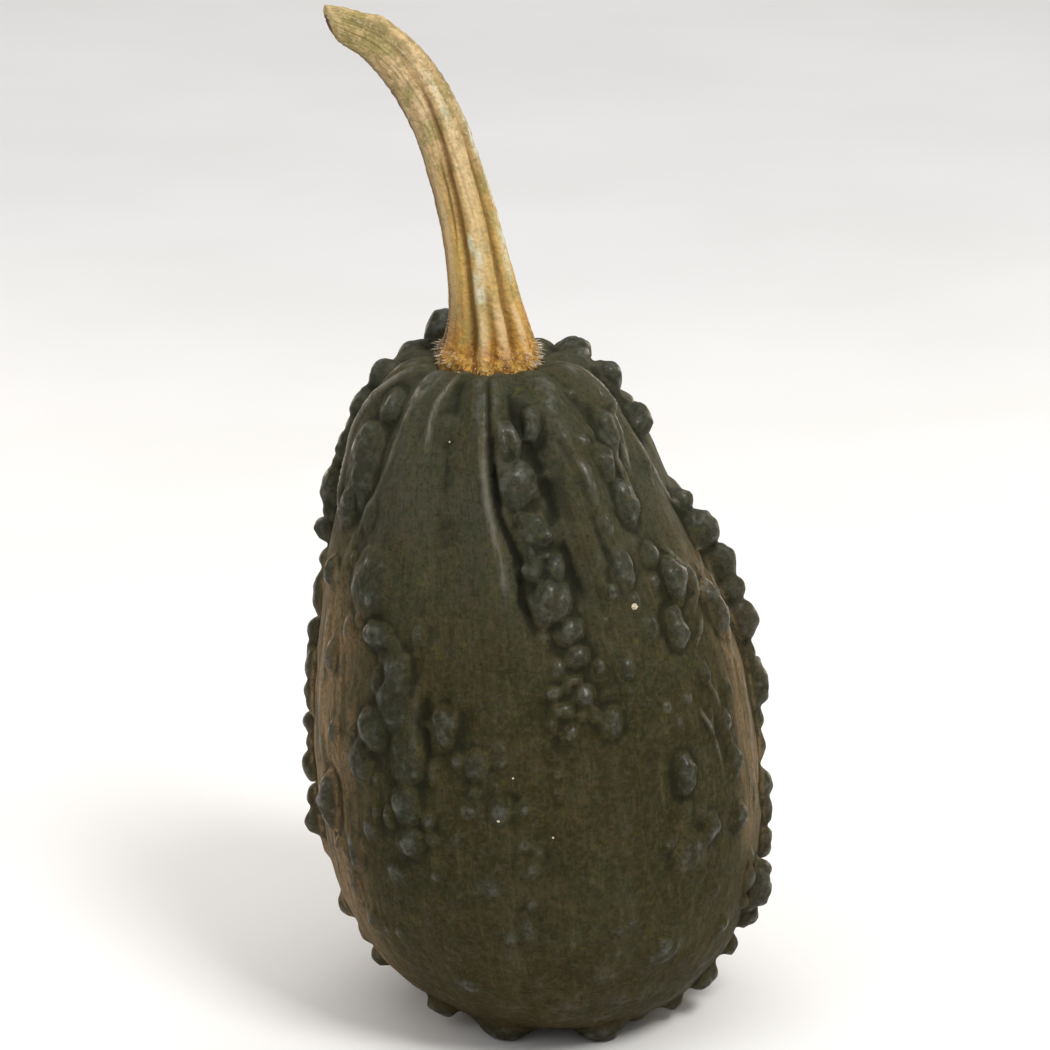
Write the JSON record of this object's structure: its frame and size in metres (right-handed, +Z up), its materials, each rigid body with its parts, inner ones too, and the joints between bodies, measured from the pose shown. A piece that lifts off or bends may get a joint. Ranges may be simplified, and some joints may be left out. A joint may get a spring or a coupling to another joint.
{
  "type": "ornamental gourd",
  "caption": "Dark green warted ornamental gourd, egg-shaped and leaning, with a long curved ribbed dry stem; stands on its own base as a decoration.",
  "frame": {"origin": "middle of the flat spot the fruit stands on", "axes": "+Z up along the fruit, -Y towards the front with the middle chain of warts, the stem bends over towards -X"},
  "size_m": [0.0914, 0.0888, 0.1967],
  "materials": {
    "gourd_skin": "satin, dark olive green, warted",
    "dry_stem": "matte, fibrous, straw-coloured"
  },
  "bodies": {
    "root": {"fruit": "gourd_skin", "stem": "dry_stem"}
  },
  "joints": []
}
